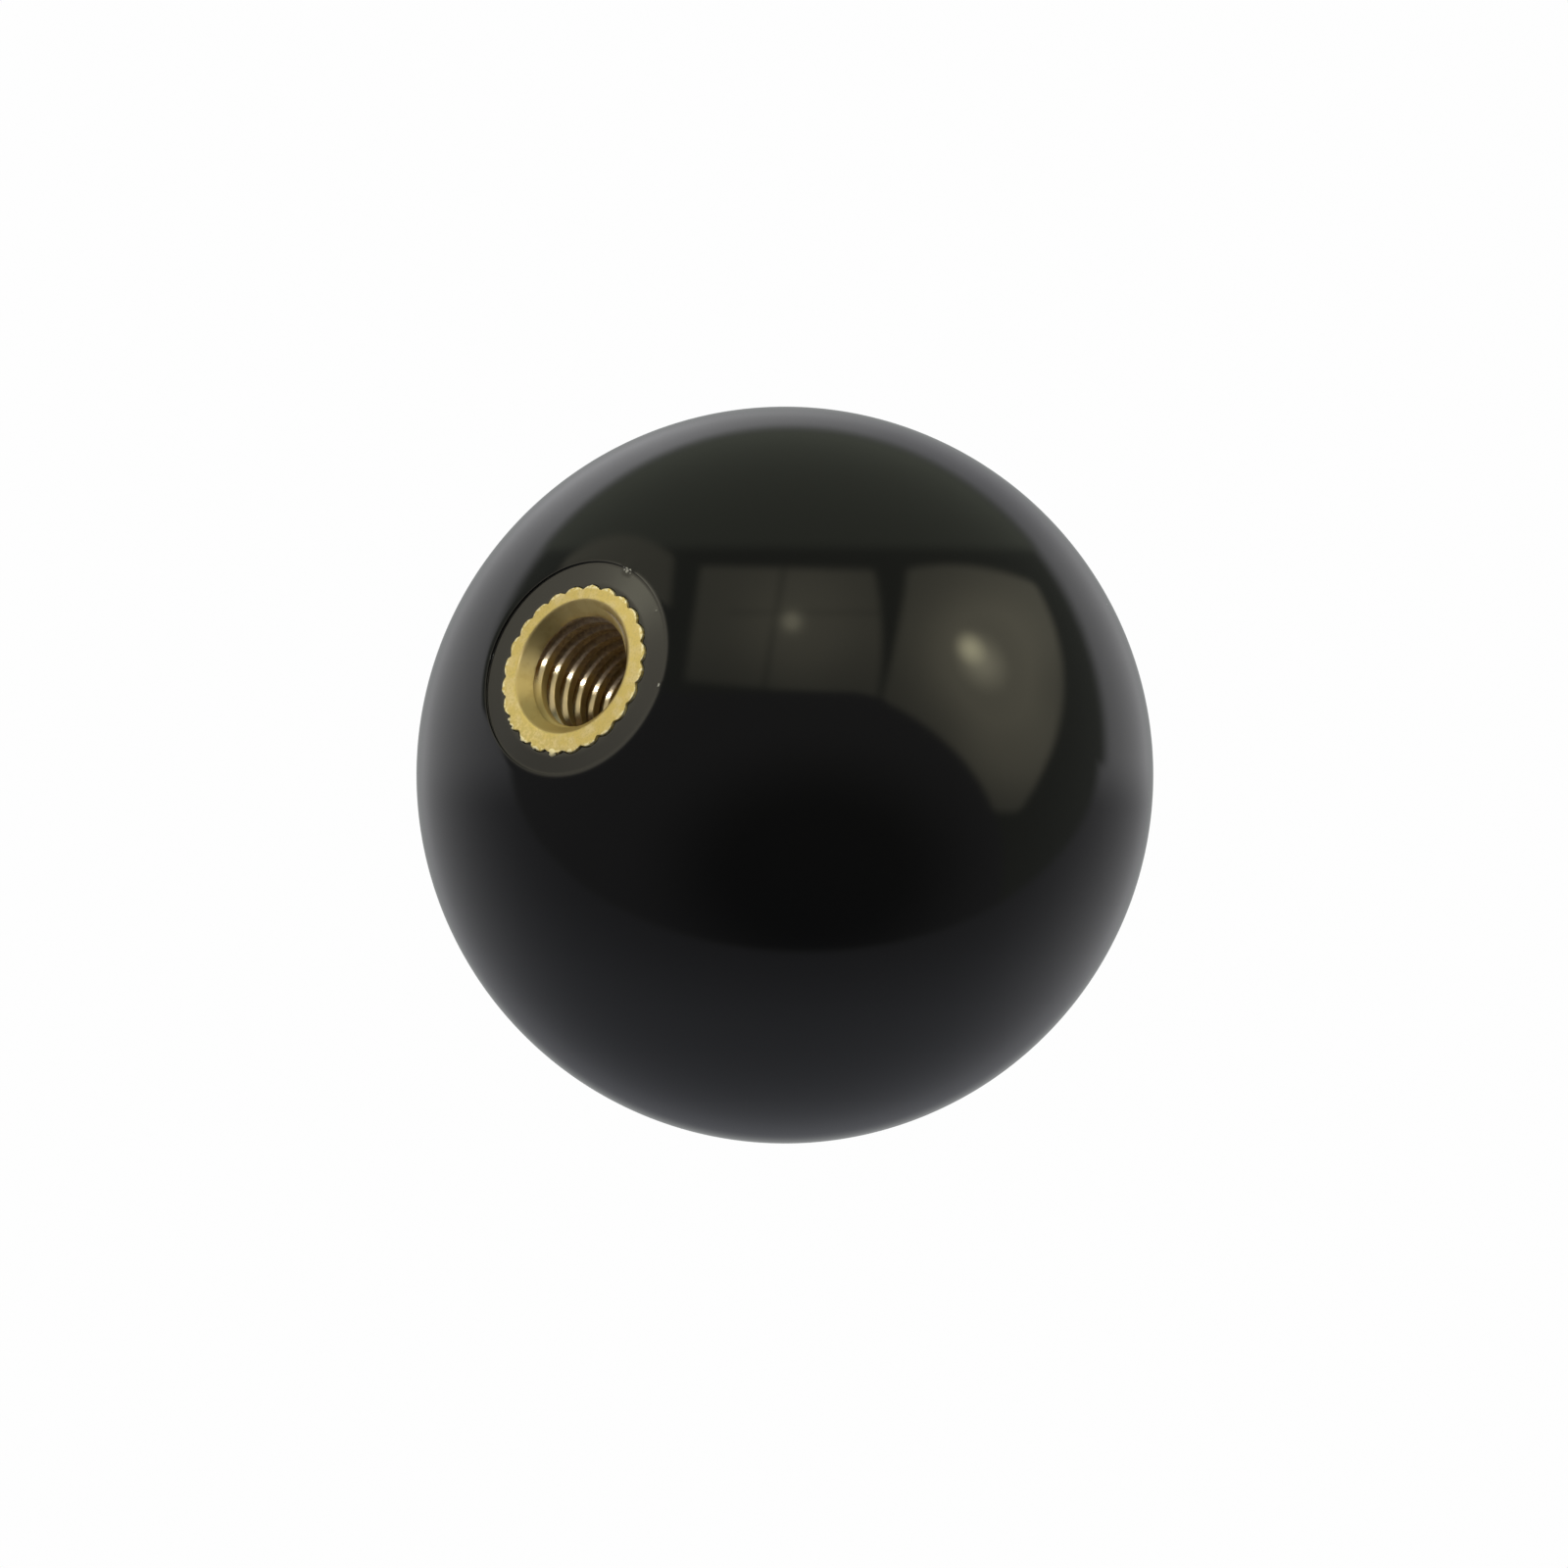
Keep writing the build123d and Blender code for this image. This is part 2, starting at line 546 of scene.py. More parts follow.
# %% [markdown]
# ## Two lamps
#
# One wide lamp hangs over the part. It lights the floor and gives the ball its soft contact shadow, and
# it doesn't show in the gloss, which mirrors only the drawn room.
#
# The turns of the thread each carry a small hard spark. A bright spot in the drawn room would give them
# too, but noisily so deep in a hole, where a lamp is found at once. So the other is a small lamp behind
# a narrow tube, aimed into the hole. Its beam is nearly parallel, and ends just short of the place where
# the ball would mirror the lamp itself.

# %% Lamps
overhead_height = 0.5
overhead_width = 0.5
overhead_power = 9.0
hole_lamp_distance = 0.1
hole_lamp_power = 0.24
hole_lamp_radius = 6 * mm
hole_lamp_spot = 2 * mm
hole_lamp_soft_edge = 0.15
hole_lamp_leans = (0.915, 0.317, 0.26)
hole_mouth = Vector((0, 0, 0))


def add_lamp(name, kind, place, aim, power):
    data = bpy.data.lights.new(name, kind)
    data.energy = power
    lamp_object = bpy.data.objects.new(name, data)
    lamp_object.location = place
    lamp_object.rotation_mode = "QUATERNION"
    lamp_object.rotation_quaternion = (aim - place).to_track_quat("-Z", "Y")
    scene.collection.objects.link(lamp_object)
    return lamp_object


overhead_place = Vector((0, 0, overhead_height))
overhead = add_lamp("overhead", "AREA", overhead_place, hole_mouth, overhead_power)
overhead.data.size = overhead_width
overhead.visible_glossy = False
overhead.visible_camera = False
flat_to_camera = Vector((to_camera.x, to_camera.y, 0)).normalized()
below, towards_camera, aside = hole_lamp_leans
from_hole = (below * down + towards_camera * flat_to_camera - aside * along_face).normalized()
hole_lamp = add_lamp("hole_lamp", "SPOT", from_hole * hole_lamp_distance, hole_mouth, hole_lamp_power)
hole_lamp.data.shadow_soft_size = hole_lamp_radius
hole_lamp.data.spot_size = 2 * atan(hole_lamp_spot / hole_lamp_distance)
hole_lamp.data.spot_blend = hole_lamp_soft_edge
beam_width = 2 * (hole_lamp_radius + hole_lamp_spot)
print(f"the small lamp's beam is {beam_width / mm:.0f} mm wide at the hole")

# %% [markdown]
# ## Rings of points
#
# Both pieces are turned or moulded about the hole's axis. They could be lathed with a Screw modifier and
# cut with Booleans, but Booleans leave ragged slivers where teeth and cones meet. So both meshes are
# grids: rings of points round the axis, joined one to the next. A ring may change its radius with the
# angle, which is all that a knurl is. Each tooth takes twelve points, enough to draw its round back.

# %% Rings and skins
knurl_teeth = 24
points_per_tooth = 12
turn_points = knurl_teeth * points_per_tooth
angles = np.arange(turn_points) * 2 * pi / turn_points


def ring(radius, height):
    """A loop of points. Radius and height are one number, or one for each angle."""
    heights = np.broadcast_to(height, angles.shape)
    return np.stack([radius * np.cos(angles), radius * np.sin(angles), heights], axis=1)


def ring_faces(first, second):
    """Quads between two rings, given the number of each ring's first point."""
    return [
        (first + i, first + (i + 1) % turn_points, second + (i + 1) % turn_points, second + i)
        for i in range(turn_points)
    ]


def tip_faces(tip, start):
    """Triangles from a tip on the axis to the ring that starts at this point."""
    return [(tip, start + i, start + (i + 1) % turn_points) for i in range(turn_points)]


print(f"{turn_points} points in each ring")

# %% From points and faces to a piece
same_point = 1e-8
sharp_angle = 35


def make_piece(name, points, faces, lumps=()):
    """A closed mesh object with smooth shading that breaks at sharp edges. Lumps are small added balls."""
    mesh = bpy.data.meshes.new(name)
    mesh.from_pydata(points.tolist(), [], faces)
    tidy = bmesh.new()
    tidy.from_mesh(mesh)
    bmesh.ops.remove_doubles(tidy, verts=tidy.verts, dist=same_point)
    for place in lumps:
        bmesh.ops.create_icosphere(tidy, subdivisions=2, radius=1, matrix=place)
    bmesh.ops.recalc_face_normals(tidy, faces=tidy.faces)
    open_edges = sum(1 for edge in tidy.edges if not edge.is_manifold)
    tidy.to_mesh(mesh)
    tidy.free()
    mesh.shade_smooth()
    mesh.set_sharp_from_angle(angle=radians(sharp_angle))
    piece = bpy.data.objects.new(name, mesh)
    scene.collection.objects.link(piece)
    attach(piece, "root")
    triangles = sum(len(face.vertices) - 2 for face in mesh.polygons)
    print(f"{name}: {triangles} triangles, {open_edges} open edges")
    return piece


print(f"points closer than {same_point} m are joined")

# %% [markdown]
# ## The knurled bar
#
# A straight knurl is pressed or cut into the bar along its whole length: round-backed teeth that meet in
# sharp roots. Each back is one arc, worked out from its crest and its two roots. The bar is turned about
# the hole's axis but sits a little beside it, so whatever belongs to the bar is moved by one small step.

# %% The knurled bar's cross section
tooth_depth = 0.22 * mm
knurl_root_radius = crest_radius - tooth_depth
tooth_half_angle = pi / knurl_teeth
root_x = knurl_root_radius * cos(tooth_half_angle)
root_y = knurl_root_radius * sin(tooth_half_angle)
tooth_centre = (crest_radius**2 - root_x**2 - root_y**2) / (2 * (crest_radius - root_x))
tooth_radius = crest_radius - tooth_centre


def knurl_radius(angle):
    """The radius of the knurled bar: each tooth is a round arc from one sharp root to the next."""
    off_crest = (angle + tooth_half_angle) % (2 * tooth_half_angle) - tooth_half_angle
    aside = tooth_centre * np.sin(off_crest)
    return tooth_centre * np.cos(off_crest) + np.sqrt(tooth_radius**2 - aside**2)


bar_turn = radians(4.3)
bar_offset = 0.16 * mm
bar_offset_turn = radians(320)
bar_middle = np.array([bar_offset * cos(bar_offset_turn), bar_offset * sin(bar_offset_turn), 0])
knurl = knurl_radius(angles - bar_turn)


def about_bar(rings):
    """The same rings round the middle of the bar, which lies a little beside the hole's axis."""
    return [points + bar_middle for points in rings]


def between(first, last, shares):
    """Rings on the way from one ring to another."""
    return [first + (last - first) * share for share in shares]


print(f"teeth round to {tooth_radius / mm:.3f} mm, on a bar of {knurl.max() / mm:.2f} mm radius")

# %% [markdown]
# ## The ball
#
# A mould leaves this ball with one fine feature: the rim round the flat, where the sphere stops. It is
# a sharp corner on a drawing and a tiny round on the real thing, and that round catches the light. A
# Bevel modifier could round it, but it would round the knurled pocket too. So the mesh follows the
# section itself, closely where it matters: sphere, rim, the low wall of the sunk flat, the flat, which
# rises towards the brass by less than a fifth of a millimetre, and the pocket that the brass fills. The
# pocket has the knurl's own form, because the resin flowed round it.

# %% Sizes of the ball's section
sphere_rings = 132
rim_round = 0.03 * mm
foot_round = 0.03 * mm
pocket_round = 0.04 * mm
crack = 0.03 * mm
flat_height = 0.10 * mm
foot_height = rim_height + 0.11 * mm
crack_depth = 0.3 * mm
flat_rings = 10
groove_width = 2.4 * mm
groove_start = (bush_length - groove_width) / 2
groove_end = groove_start + groove_width
groove_depth = 0.75 * mm
groove_radius = crest_radius - groove_depth
end_chamfer = 0.5 * mm
round_steps = 8
print(f"flat {flat_height / mm:.2f} mm above the brass face, its foot {foot_height / mm:.2f} mm")

# %% Rings of the ball's section
def arc(centre_radius, centre_height, radius, start, end):
    """Rings along a round, from one angle to the other. Angle 0 points down and 90 away from the axis."""
    turns = np.linspace(radians(start), radians(end), round_steps)
    return [
        ring(centre_radius + radius * sin(turn), centre_height - radius * cos(turn))
        for turn in turns
    ]


def chamfered_end():
    """Rings over the bar's chamfered inner end, where the cone meets the teeth."""
    heights = np.linspace(bush_length - end_chamfer, bush_length, round_steps)
    return [ring(np.minimum(knurl, crest_radius - end_chamfer + bush_length - z), z) for z in heights]


def body_rings(start):
    """Rings from this height along the knurl and the retaining groove to the inner end."""
    return about_bar([
        ring(knurl, start),
        ring(knurl, groove_start),
        ring(groove_radius, groove_start),
        ring(groove_radius, groove_end),
        ring(knurl, groove_end),
        *chamfered_end(),
    ])


def ball_rings():
    """Rings from the top of the sphere, over the rim and the flat, to the bottom of the pocket."""
    round_radius = rim_radius + rim_round
    round_reach = ball_radius - rim_round
    round_height = ball_centre.z - sqrt(round_reach**2 - round_radius**2)
    rim_angle = np.degrees(np.arcsin(round_radius / round_reach))
    polar = np.linspace(180, rim_angle, sphere_rings + 1)[1:-1]
    sphere = [
        ring(ball_radius * sin(radians(angle)), ball_centre.z - ball_radius * cos(radians(angle)))
        for angle in polar
    ]
    rim = arc(round_radius, round_height, rim_round, rim_angle, -90)
    foot = arc(rim_radius - foot_round, foot_height - foot_round, foot_round, 90, 180)
    edge_radius = knurl + crack + pocket_round
    collar = ring(edge_radius.max(), flat_height) + bar_middle
    flat = between(foot[-1], collar, np.linspace(0, 1, flat_rings)[1:])
    edge = about_bar(arc(edge_radius, flat_height + pocket_round, pocket_round, 0, -90))
    return sphere + rim + foot + flat + edge + body_rings(flat_height + crack_depth)


print(f"{len(ball_rings())} rings from the ball's top to the pocket's bottom")

# %% Flecks on the rim
flecks = [
    {"turn": 186.6, "radius": 5.06, "size": 0.17, "height": 0.02},
    {"turn": 189.2, "radius": 5.07, "size": 0.25, "height": 0.04},
    {"turn": 191.8, "radius": 5.06, "size": 0.20, "height": 0.03},
    {"turn": 222.8, "radius": 4.93, "size": 0.13, "height": 0.01},
    {"turn": 266.2, "radius": 5.17, "size": 0.16, "height": 0.01},
]


def fleck_place(fleck):
    turn = radians(fleck["turn"])
    return (fleck["radius"] * mm * cos(turn), fleck["radius"] * mm * sin(turn), rim_height)


def raise_flecks(points):
    """Pushes the rim out a little where a fleck of flash was left on it."""
    for fleck in flecks:
        far = np.linalg.norm(points - np.array(fleck_place(fleck)), axis=1) / (fleck["size"] * mm)
        points[:, 2] -= fleck["height"] * mm * np.clip(1 - far**2, 0, 1)
    return points


print(f"{len(flecks)} flecks")

# %% The ball's mesh
def skin(rings, first_tip, last_tip):
    """Points and faces of rings that are closed by a tip at each end."""
    points = np.concatenate([*rings, [first_tip], [last_tip]])
    faces = tip_faces(len(points) - 2, 0)
    for number in range(len(rings) - 1):
        faces += ring_faces(number * turn_points, (number + 1) * turn_points)
    faces += tip_faces(len(points) - 1, (len(rings) - 1) * turn_points)
    return points, faces


top = (0, 0, ball_high.z)
pocket_bottom = (0, 0, bush_length)
ball_points, ball_faces = skin(ball_rings(), top, pocket_bottom)
ball = make_piece("moulded_ball", raise_flecks(ball_points), ball_faces)
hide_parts("ball")

# %% [markdown]
# ## Black moulded resin
#
# The resin is nearly black and takes a high polish in the mould, so its colour hardly matters and its
# roughness matters a lot. It is a little duller on the flat, where it was trimmed, and handling leaves
# it not quite even. The flecks on the rim are painted pale, a painted highlight for the glints they show.
#
# Painted image maps would need an unwrapped ball and would blur at the rim. Masks worked out from the
# distance to the axis and to each fleck need no unwrapping and stay sharp at any size.

# %% Resin material
resin_black = colour(0.010, 0.010, 0.0105)
# The pale colour is a painted highlight for the flecks on the rim.
resin_painted_glint = colour(0.85, 0.85, 0.80)
resin_gloss = 0.07
resin_light_bending = 1.55
handling_grain = 160
handling_strength = 0.03
ripple_grain = 420
ripple_strength = 0.02
ripple_height = 0.1 * mm
flat_dullness = 0.12
foot_soft = 0.1 * mm
fleck_dullness = 0.4
fleck_solid = 0.35
fleck_edge = 0.62


def object_place(shader):
    return shader.node("ShaderNodeTexCoord", {}, {}, "Object")


def parts_of(shader, vector):
    """The three numbers of a place."""
    split = shader.node("ShaderNodeSeparateXYZ", {}, {0: vector}, None)
    return [Value(shader, socket) for socket in split.outputs]


def across_axis(one, other):
    """The distance from the axis, from the two numbers across it."""
    return (one * one + other * other) ** 0.5


resin_material, resin = new_material("gloss_black_resin")
resin_place = object_place(resin)
resin_x, resin_y, resin_z = parts_of(resin, resin_place)
on_flat = across_axis(resin_x, resin_y).fade(rim_radius, rim_radius - foot_round)
on_flat = on_flat * resin_z.fade(foot_height + foot_soft, foot_height)
# The flecks are painted pale, a painted highlight for their glints, and made rougher.
fleck_glint_mask = 0
for fleck in flecks:
    near = resin.vector("DISTANCE", resin_place, fleck_place(fleck), "Value")
    size = fleck["size"] * mm
    grain = resin.noise(resin_place, 1 / size, detail=2)
    ragged = near + (grain - 0.5) * size
    fleck_glint_mask = ragged.fade(fleck_edge * size, fleck_solid * size) + fleck_glint_mask
handling = resin.noise(resin_place, handling_grain, detail=4, roughness=0.6)
ripple = resin.noise(resin_place, ripple_grain, detail=2)
resin_roughness = resin_gloss + handling * handling_strength + on_flat * flat_dullness
resin_roughness = resin_roughness + fleck_glint_mask * fleck_dullness
resin_relief = resin.node("ShaderNodeBump", {}, {
    "Height": ripple,
    "Strength": ripple_strength,
    "Distance": ripple_height,
}, 0)
resin_surface = resin.node("ShaderNodeBsdfPrincipled", {}, {
    "Base Color": resin.mix(fleck_glint_mask.least(1), resin_black, resin_painted_glint),
    "Roughness": resin_roughness,
    "Normal": resin_relief,
    "IOR": resin_light_bending,
}, 0)
resin.node("ShaderNodeOutputMaterial", {}, {"Surface": resin_surface}, None)
ball.data.materials.append(resin_material)
print(f"resin: {len(resin_material.node_tree.nodes)} nodes")

# %% [markdown]
# ## The brass bush
#
# The bush is turned from straight-knurled bar. Its visible end has four zones: the toothed edge with
# the small burrs that the saw and the lathe left, the faced ring, the smooth countersink, and the thread.
# The crumbs are bits of brass that the tools left on the edges of the teeth.
#
# The thread could be a screw modifier on a profile, but then its start would need to be cut to fit. Here
# it is a grid like the rest, and only sheared: each row climbs by one pitch in a turn, so a row ends
# where another one starts, one pitch further in. Rows that would lie in front of the face are held at the
# mouth. Each point takes the largest of three radii: the drilled hole, the thread's own profile and the
# countersink's cone. So the crests are as flat as the drill left them, and the thread breaks out of the
# cone as it does when it is tapped.

# %% Outside of the bush
edge_bevel = 0.03 * mm
edge_round = 0.02 * mm
bevel_follows = 0.7
burr_reach = 0.12 * mm
straight_side = 0.7
mouth_radius = 3.22 * mm
mouth_round = 0.05 * mm
burr_seed = 7
burr_middle = 15.0
burr_spread = 30.0
plain_unevenness = 0.016 * mm
burr_unevenness = 0.045 * mm
face_rings_across = 9
bevel_share = 0.3
mouth_share = 0.2
crumb_width_share = 0.7
crumbs = [
    {"turn": 37.5, "radius": 4.03, "depth": 0.06, "long": 0.11, "high": 0.05},
    {"turn": 30.3, "radius": 4.10, "depth": 0.07, "long": 0.09, "high": 0.06},
    {"turn": 18.1, "radius": 4.09, "depth": 0.07, "long": 0.13, "high": 0.06},
    {"turn": 5.3, "radius": 4.12, "depth": 0.06, "long": 0.10, "high": 0.05},
    {"turn": -10.5, "radius": 4.16, "depth": 0.10, "long": 0.22, "high": 0.08},
]


def off_turn(turn):
    """How far each angle is from this one, in degrees."""
    return np.abs((np.degrees(angles) - turn + 180) % 360 - 180)


def tooth_unevenness():
    """How far the cut edge strays from the knurl's form, most of all where the burrs are."""
    uneven = np.random.default_rng(burr_seed).normal(size=turn_points)
    uneven = (uneven + np.roll(uneven, 1)) / 2
    burrs = np.exp(-((off_turn(burr_middle) / burr_spread) ** 2))
    return uneven * (plain_unevenness + burr_unevenness * burrs)


def crumb_middle(crumb):
    turn = radians(crumb["turn"])
    return Vector((crumb["radius"] * cos(turn), crumb["radius"] * sin(turn), crumb["depth"])) * mm


def crumb_place(crumb):
    """The matrix of one crumb: an oval lump that sits on an edge and doesn't pass the face."""
    wide = crumb["long"] * crumb_width_share
    size = Vector((wide, crumb["long"], crumb["high"], 1 / mm)) * mm
    turned = Matrix.Rotation(radians(crumb["turn"]), 4, "Z")
    return Matrix.Translation(crumb_middle(crumb)) @ turned @ Matrix.Diagonal(size)


most_uneven = np.abs(tooth_unevenness()).max()
print(f"{len(crumbs)} crumbs, and a cut edge uneven by up to {most_uneven / mm:.2f} mm")


# %% Rings over the teeth and the face
def face_rings():
    """Rings from the knurl over the bevelled teeth and the face to the mouth of the hole."""
    uneven = tooth_unevenness()
    edge = knurl + uneven
    outer = np.minimum(edge, crest_radius - edge_bevel + bevel_follows * uneven) - edge_round
    side = [ring(knurl, burr_reach), ring(edge, straight_side * burr_reach), ring(edge, edge_bevel)]
    bevel_start = ring(edge - edge_round * bevel_share, edge_bevel - edge_round)
    bevel_end = ring(outer + edge_round, edge_round * bevel_share)
    outer_edge = ring(outer, 0) + bar_middle
    inner_edge = ring(mouth_radius + mouth_round, 0)
    face = between(outer_edge, inner_edge, np.linspace(0, 1, face_rings_across))
    mouth = [ring(mouth_radius + bevel_share * mouth_round, mouth_share * mouth_round)]
    return about_bar([*side, bevel_start, bevel_end]) + face + mouth


print(f"{len(face_rings())} rings from the teeth to the mouth")

# %% Thread profile
thread_pitch = 1.0 * mm
thread_major_radius = 3.0 * mm
v_height = thread_pitch * sqrt(3) / 2
thread_depth = v_height * 5 / 8
thread_minor_radius = thread_major_radius - thread_depth
drill_radius = 2.60 * mm
drill_point_angle = 118
countersink_angle = 90
point_depth_per_radius = tan(radians(90 - drill_point_angle / 2))
countersink_depth_per_radius = tan(radians(90 - countersink_angle / 2))
edge_soft = 0.012 * mm
thread_end = 11.241 * mm
hole_tip = thread_end + drill_radius * point_depth_per_radius
lead_out = 1.5 * thread_pitch
thread_zero = 0.173 * mm
crest_half = 1 / 8
flank_share = 5 / 16
corner_share = 0.12
row_places = (0.12, 0.195, 0.22, 0.235, 0.25, 0.28, 0.34, 0.40, 0.4375, 0.475)
turn_rows = (-0.5, *(-place for place in reversed(row_places)), 0.0, *row_places)


def rising_share(part):
    """The running sum of a ramp that climbs from 0 to 1: it rounds the profile's corners below."""
    return np.where(part < 0, 0, np.where(part < 1, part**2 / 2, part - 0.5))


def thread_cut(turns):
    """How deep the tap has cut at this many turns from a crest."""
    off_crest = np.abs((turns + 0.5) % 1 - 0.5)
    part = (off_crest - crest_half) / flank_share
    rounded = rising_share(part + corner_share) - rising_share(part - corner_share)
    return thread_depth * rounded / (2 * corner_share)


print(f"thread {thread_depth / mm:.3f} mm deep, crests at {drill_radius / mm:.2f} mm")


# %% The thread's sheared grid
def larger(one, other):
    """The larger of two radii, with the edge where they meet taken off."""
    return (one + other + np.sqrt((one - other) ** 2 + edge_soft**2)) / 2


def thread_rows():
    """The places of the rows, in pitches, from a turn before the mouth to a turn past the end."""
    first_turn = np.floor((mouth_round - thread_zero) / thread_pitch) - 1
    last_turn = np.ceil((thread_end - thread_zero) / thread_pitch) + 1
    return [turn + place for turn in np.arange(first_turn, last_turn + 1) for place in turn_rows]


def thread_grid():
    """The rows of points from the mouth inwards. All rows start at angle 0 and climb one pitch."""
    climb = angles / (2 * pi)
    grid = []
    for row in thread_rows():
        heights = np.clip(thread_zero + thread_pitch * (row + climb), mouth_round, thread_end)
        turns = (heights - thread_zero) / thread_pitch - climb
        lead = np.clip((heights - thread_end) / lead_out + 1, 0, 1) * thread_depth
        cut = thread_minor_radius + thread_cut(turns) - lead
        cone = mouth_radius - heights / countersink_depth_per_radius
        grid.append(ring(larger(larger(cut, drill_radius), cone), heights))
    return grid


def thread_faces(start, rows):
    """Quads of the sheared grid: past the last angle, a row goes on as the row one pitch further in."""
    def number(row, step):
        if step < turn_points:
            return start + row * turn_points + step
        return start + min(row + len(turn_rows), rows - 1) * turn_points

    return [
        (number(row, i), number(row, i + 1), number(row + 1, i + 1), number(row + 1, i))
        for row in range(rows - 1)
        for i in range(turn_points)
    ]


print(f"{len(thread_rows())} rows in the thread, {len(turn_rows)} to a pitch")


# %% The bush's mesh
def bush_mesh():
    outside = [*reversed(body_rings(flat_height + crack_depth)), *face_rings()]
    grid = thread_grid()
    tips = [(0, 0, bush_length), (0, 0, hole_tip)]
    points = np.concatenate([*outside, *grid, tips])
    faces = tip_faces(len(points) - 2, 0)
    for step in range(len(outside)):
        faces += ring_faces(step * turn_points, (step + 1) * turn_points)
    first_row = len(outside) * turn_points
    faces += thread_faces(first_row, len(grid))
    faces += tip_faces(len(points) - 1, first_row + (len(grid) - 1) * turn_points)
    return points, faces


bush_points, bush_faces = bush_mesh()
crumb_places = [crumb_place(crumb) for crumb in crumbs]
bush = make_piece("brass_bush", bush_points, bush_faces, lumps=crumb_places)
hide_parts("threaded_insert")

# %% [markdown]
# ## Turned brass
#
# Freshly cut brass is yellow and bright, but each zone was cut in its own way. The face has the fine
# rings of the facing tool. The countersink is a shade paler and duller. The flanks of the thread are
# burnished by the tap, so they look pinker, and the light that gets down there bounces from brass to
# brass. One side of the thread is painted a darker brown, which is painted shade, and made rougher. The
# first turn is scuffed on the side where levers are started. The crumbs and the tips of the teeth are
# painted pale, a painted highlight, and near the burrs there are specks of painted shade among the grain.
#
# Each zone could be a material of its own, given to its own faces, but then every border would be a hard
# line on the mesh's edges. Here it is one brass, and each zone is a mask worked out from the radius and
# the height, so each border lies where the tool left it.

# %% Brass colours
brass_gold = colour(0.74, 0.60, 0.23)
brass_worn = colour(0.83, 0.71, 0.43)
# A darker brass: grain on the face, and near the burrs also painted shade.
brass_grain_and_shade = colour(0.60, 0.50, 0.20)
brass_bored = colour(0.87, 0.69, 0.30)
brass_stained = colour(0.74, 0.55, 0.22)
brass_burnished = colour(0.84, 0.69, 0.45)
# The next two browns are painted shade, for one side of the thread.
brass_painted_shade = colour(0.71, 0.59, 0.43)
brass_painted_deep_shade = colour(0.57, 0.45, 0.32)
# The palest brass is a painted highlight, for the crumbs and the tips of the teeth.
brass_painted_glint = colour(0.98, 0.90, 0.60)
print("nine shades of one brass")

# %% Places in the brass
shade_turn = radians(150)
scuff_turn = radians(20)
burr_turn = radians(burr_middle)
shade_start = 1.2 * mm
shade_full = 1.95 * mm
scuff_start = 1.2 * mm
scuff_full = 2.4 * mm
burr_start = 2.4 * mm
burr_full = 3.9 * mm
brass_material, brass = new_material("turned_brass")
brass_place = object_place(brass)
brass_x, brass_y, brass_z = parts_of(brass, brass_place)
off_centre = across_axis(brass_x, brass_y)
bar_x = brass_x - float(bar_middle[0])
bar_y = brass_y - float(bar_middle[1])
off_bar = across_axis(bar_x, bar_y)


def towards(turn, sideways, upwards):
    """How far a place lies out towards this side of the bush."""
    return sideways * cos(turn) + upwards * sin(turn)


# Painted shade: one side of the thread gets a darker brown colour, and more roughness.
shaded_side = towards(shade_turn, brass_x, brass_y).fade(shade_start, shade_full)
scuffed_side = towards(scuff_turn, brass_x, brass_y).fade(scuff_start, scuff_full)
burr_side = towards(burr_turn, bar_x, bar_y).fade(burr_start, burr_full)
print("sides of the bush: film, scuffs and burrs")

# %% The zones of the brass
mouth_border = 0.03 * mm
thread_start = 0.01 * mm
thread_full = 0.05 * mm
crest_start = 0.03 * mm
crest_full = 0.01 * mm
scuff_end = 1.6 * mm
scuff_depth = 1.3 * mm
tips_start = 0.20 * mm
tips_full = 0.10 * mm
side_start = 0.02 * mm
side_full = 0.10 * mm
crumb_edge = 1.2
crumb_solid = 0.9

inside = off_centre.fade(mouth_radius + mouth_border, mouth_radius)
past_cone = off_centre + brass_z * (1 / countersink_depth_per_radius)
in_thread = inside * past_cone.fade(mouth_radius + thread_start, mouth_radius + thread_full)
on_cone = inside - in_thread
on_crest = in_thread * off_centre.fade(drill_radius + crest_start, drill_radius + crest_full)
scuffed = scuffed_side * in_thread * brass_z.fade(scuff_end, scuff_depth)
thread_shade_side = shaded_side * in_thread
near_tips = off_bar.fade(crest_radius - tips_start, crest_radius - tips_full)
on_side = brass_z.fade(side_start, side_full) * (1 - inside)
# The crumbs are painted pale: a painted highlight for their glints.
crumb_glint_mask = 0
for crumb in crumbs:
    near = brass.vector("DISTANCE", brass_place, crumb_middle(crumb), "Value")
    size = crumb["long"] * mm
    crumb_glint_mask = near.fade(crumb_edge * size, crumb_solid * size) + crumb_glint_mask
print("zones: face, side, tips, cone, thread, crests, scuffs, film and crumbs")

# %% Grain and tool marks
brass_grain = 9000
brass_specks = 6000
brass_blotches = 1500
tool_lines = 16000
grain = brass.noise(brass_place, brass_grain, detail=4, roughness=0.7)
specks = brass.noise(brass_place, brass_specks, detail=2)
blotches = brass.noise(brass_place, brass_blotches, detail=3)
tool_rings = brass.node("ShaderNodeTexNoise", {"noise_dimensions": "1D"}, {
    "W": off_centre * (1 - inside) + brass_z * inside,
    "Scale": tool_lines,
    "Detail": 3,
}, 0)
print(f"grain of {1 / brass_grain / mm:.2f} mm, tool marks of {1 / tool_lines / mm:.2f} mm")

# %% Colour, laid on from the plain face to the crumbs
worn_range = (0.40, 0.70)
worn_strength = 0.7
dull_range = (0.52, 0.34)
dull_strength = 0.8
burr_range = (0.62, 0.40)
burr_strength = 0.7
stain_range = (0.48, 0.62)
stain_strength = 0.5
shade_range = (0.40, 0.60)
tip_glint_range = (0.46, 0.52)

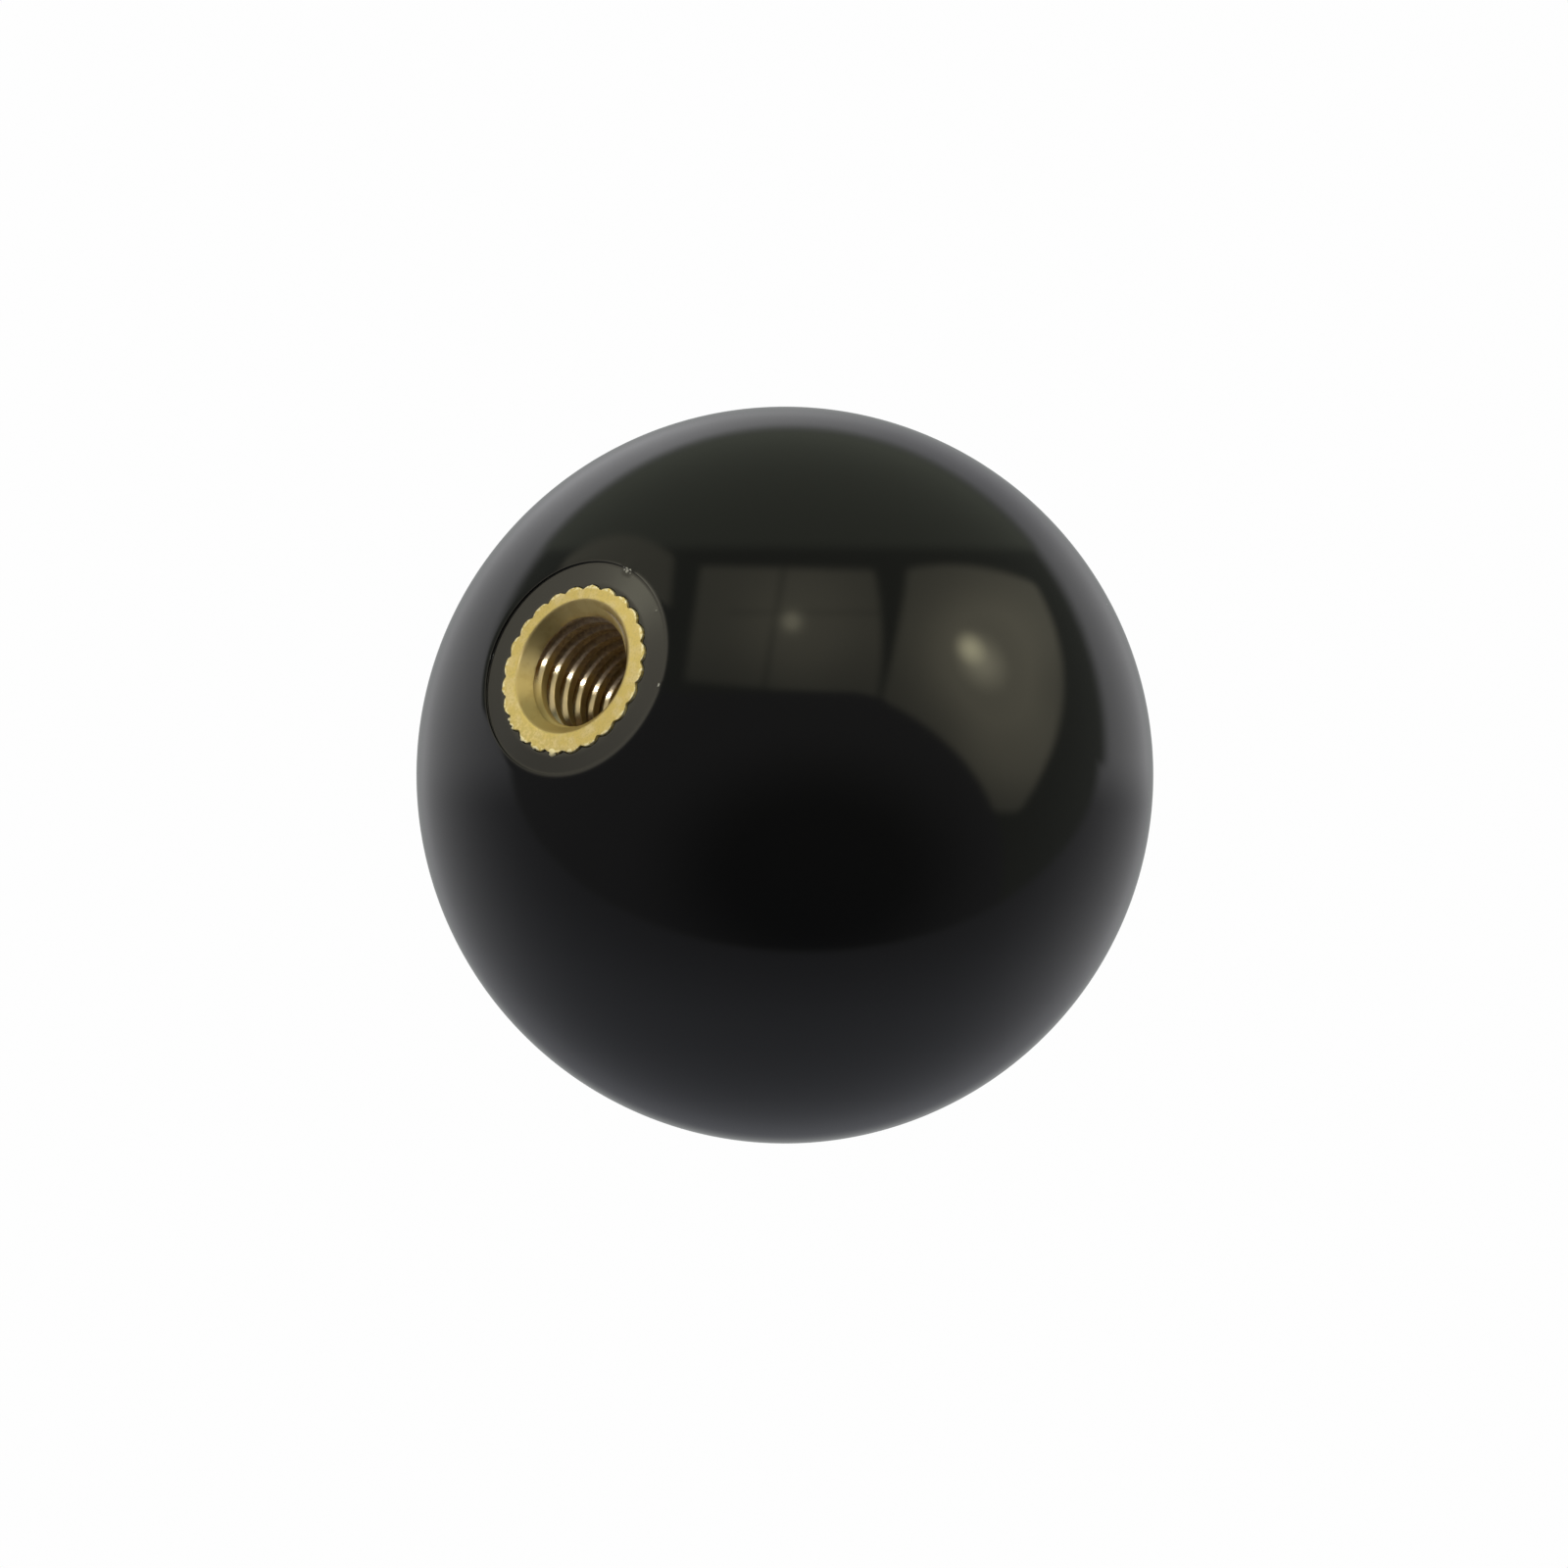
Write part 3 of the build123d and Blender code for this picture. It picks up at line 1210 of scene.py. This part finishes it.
worn = blotches.fade(*worn_range) * worn_strength
dull_grain = grain.fade(*dull_range) * dull_strength
# Near the burrs, darker specks: partly grain, partly painted shade among the burrs.
burr_grain_and_shade = burr_side * specks.fade(*burr_range) * burr_strength
# Painted highlight: pale specks near the tips of the teeth.
painted_tip_glints = near_tips * specks.fade(*tip_glint_range)
stains = blotches.fade(*stain_range) * stain_strength
bored_colour = brass.mix(stains, brass_bored, brass_stained)
# Painted shade: the two browns of the thread's darker side.
painted_shade_colour = brass.mix(specks.fade(*shade_range), brass_painted_deep_shade, brass_painted_shade)
layers = (
    (worn, brass_worn),
    (dull_grain, brass_grain_and_shade),
    (burr_grain_and_shade, brass_grain_and_shade),
    (painted_tip_glints, brass_painted_glint),
    (inside, bored_colour),
    (in_thread, brass_burnished),
    (on_crest.most(scuffed), brass_bored),
    (thread_shade_side, painted_shade_colour),
    (crumb_glint_mask.least(1), brass_painted_glint),
)
brass_colour = brass_gold
for mask, layer_colour in layers:
    brass_colour = brass.mix(mask, brass_colour, layer_colour)
print(f"{len(layers)} layers of colour")

# %% Brass surface
brass_dullness = 0.34
grain_dullness = 0.12
tapped_gloss = 0.26
cone_dullness = 0.28
side_dullness = 0.40
shade_side_dullness = 0.44
scuff_dullness = 0.26
crest_dullness = 0.34
ring_share = 0.6
brass_relief_strength = 0.12
brass_relief_height = 0.03 * mm
lathe_stretch = 0.6
lathe_turn = 0.25

brass_roughness = brass_dullness + grain * grain_dullness - inside * tapped_gloss
brass_roughness = brass_roughness + on_cone * cone_dullness + on_side * side_dullness
brass_roughness = brass_roughness + thread_shade_side * shade_side_dullness + scuffed * scuff_dullness
brass_roughness = brass_roughness + (1 - thread_shade_side) * on_crest * crest_dullness
brass_relief = brass.node("ShaderNodeBump", {}, {
    "Height": tool_rings * ring_share + grain * (1 - ring_share),
    "Strength": brass_relief_strength,
    "Distance": brass_relief_height,
}, 0)
brass_surface = brass.node("ShaderNodeBsdfPrincipled", {}, {
    "Base Color": brass_colour,
    "Metallic": 1.0,
    "Roughness": brass_roughness,
    "Anisotropic": lathe_stretch,
    "Anisotropic Rotation": lathe_turn,
    "Normal": brass_relief,
}, 0)
brass.node("ShaderNodeOutputMaterial", {}, {"Surface": brass_surface}, None)
bush.data.materials.append(brass_material)
print(f"brass: {len(brass_material.node_tree.nodes)} nodes")
